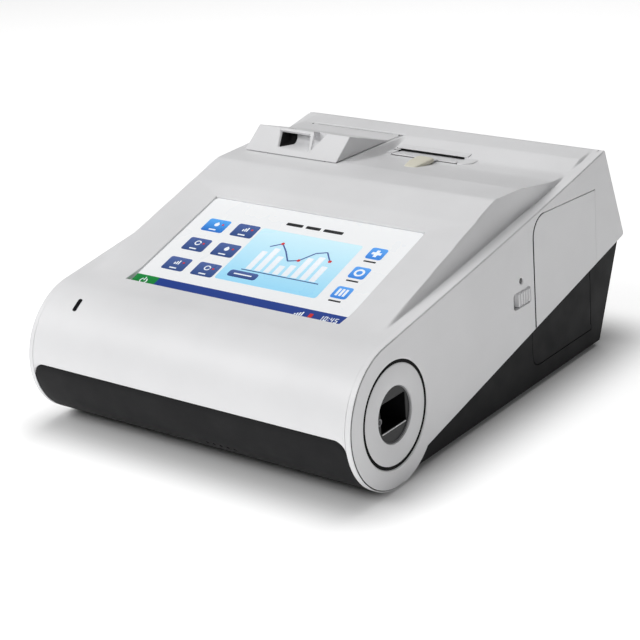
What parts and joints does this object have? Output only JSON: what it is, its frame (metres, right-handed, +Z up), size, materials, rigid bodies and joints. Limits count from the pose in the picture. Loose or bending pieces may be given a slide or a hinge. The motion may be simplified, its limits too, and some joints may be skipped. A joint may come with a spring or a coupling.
{
  "type": "blood gas analyzer",
  "caption": "Wedge-shaped bench blood gas analyzer: sloped touch screen in a white housing, round front edge, black base, hinged paper printer cover, test cartridge slot and side door.",
  "frame": {"origin": "centre of the bounding box's footprint, on the table the feet stand on", "axes": "+X to the right seen from the front, +Y to the back, +Z up"},
  "size_m": [0.238, 0.315, 0.1413],
  "materials": {
    "shell_white": "fine matte light grey-white moulding",
    "tray_black": "fine grained black moulding",
    "disc_grey": "satin light grey",
    "tunnel_black": "semi-gloss black",
    "dark_lens": "dark tinted clear plastic",
    "screen_glass": "hard coated touch glass",
    "metal_grey": "plain metal",
    "cream_rubber": "soft cream elastomer",
    "paper_white": "thermal paper",
    "rubber_black": "black rubber",
    "board_green": "green solder mask",
    "pack_plastic": "pale blue pack",
    "battery_wrap": "dark wrapped cells",
    "lamp_green": "small indicator lens"
  },
  "bodies": {
    "chassis": {"upper_housing": "shell_white", "base_tray": "tray_black", "front_panel": "tray_black", "side_panel_left": "shell_white", "side_panel_right": "shell_white", "trim_disc_left": "disc_grey", "trim_disc_right": "disc_grey", "foot_1": "rubber_black", "foot_2": "rubber_black", "foot_3": "rubber_black", "foot_4": "rubber_black", "case_screw_1": "metal_grey", "case_screw_2": "metal_grey", "case_screw_3": "metal_grey", "case_screw_4": "metal_grey", "touch_panel": "screen_glass", "display_module": "metal_grey", "status_light": "dark_lens", "scanner_tunnel": "tunnel_black", "scanner_glass": "dark_lens", "scanner_module": "battery_wrap", "scanner_lamp": "lamp_green", "speaker": "metal_grey", "paper_bay": "shell_white", "print_head": "metal_grey", "cover_hinge_pin_left": "metal_grey", "cover_hinge_pin_right": "metal_grey", "slot_bezel": "shell_white", "cartridge_guide": "tray_black", "contact_block": "metal_grey", "door_hinge_pin": "metal_grey", "latch_lamp": "dark_lens", "pack_bay": "disc_grey", "pump_motor": "metal_grey", "pump_housing": "disc_grey", "main_board": "board_green", "power_supply": "metal_grey", "battery_pack": "battery_wrap", "battery_lid": "tray_black", "usb_port_1": "metal_grey", "usb_port_2": "metal_grey", "network_port": "metal_grey", "power_inlet": "tray_black", "ground_stud": "metal_grey"},
    "printer_cover": {"printer_cover": "shell_white"},
    "release_lever": {"release_lever": "shell_white"},
    "platen_roller": {"platen_roller": "rubber_black"},
    "paper_roll": {"paper_roll": "paper_white"},
    "cartridge": {"test_cartridge": "shell_white", "sample_port": "cream_rubber"},
    "pack_door": {"door_skin": "shell_white", "door_panel": "tray_black"},
    "latch_slider": {"latch_slider": "shell_white"},
    "fluid_pack": {"fluid_pack": "pack_plastic"},
    "pump_rotor": {"pump_rotor": "tray_black"}
  },
  "joints": [
    {"name": "printer_cover_hinge", "type": "hinge", "parent": "chassis", "child": "printer_cover", "pos_m": [-0.0615, 0.1132, 0.1263], "axis": [-1, 0, 0], "range_deg": [0, 75]},
    {"name": "release_lever_pivot", "type": "hinge", "parent": "printer_cover", "child": "release_lever", "pos_m": [-0.0631, 0.0593, 0.1387], "axis": [-1, 0, 0], "range_deg": [0, 18], "stiffness_Nm_per_rad": 0.02},
    {"name": "platen_roller_spin", "type": "hinge", "parent": "printer_cover", "child": "platen_roller", "pos_m": [-0.0615, 0.046, 0.1225], "axis": [1, 0, 0], "continuous": true},
    {"name": "paper_roll_spin", "type": "hinge", "parent": "chassis", "child": "paper_roll", "pos_m": [-0.0615, 0.084, 0.0992], "axis": [1, 0, 0], "continuous": true},
    {"name": "cartridge_slide", "type": "slide", "parent": "chassis", "child": "cartridge", "axis": [0, -0.9903, 0.1392], "range_m": [0, 0.042]},
    {"name": "door_hinge", "type": "hinge", "parent": "chassis", "child": "pack_door", "pos_m": [0.11745, 0.11705, 0], "axis": [-0.0335, 0, 0.9994], "range_deg": [0, 95]},
    {"name": "latch_slide", "type": "slide", "parent": "chassis", "child": "latch_slider", "axis": [0, -1, 0], "range_m": [0, 0.0035], "stiffness_N_per_m": 150},
    {"name": "fluid_pack_slide", "type": "slide", "parent": "chassis", "child": "fluid_pack", "axis": [1, 0, 0], "range_m": [0, 0.0298]},
    {"name": "pump_rotor_spin", "type": "hinge", "parent": "chassis", "child": "pump_rotor", "pos_m": [0.001, 0.075, 0.06], "axis": [1, 0, 0], "continuous": true}
  ],
  "couplings": [
    {"joint": "door_hinge", "follows": "fluid_pack_slide", "rad_per_m": 55.556}
  ]
}
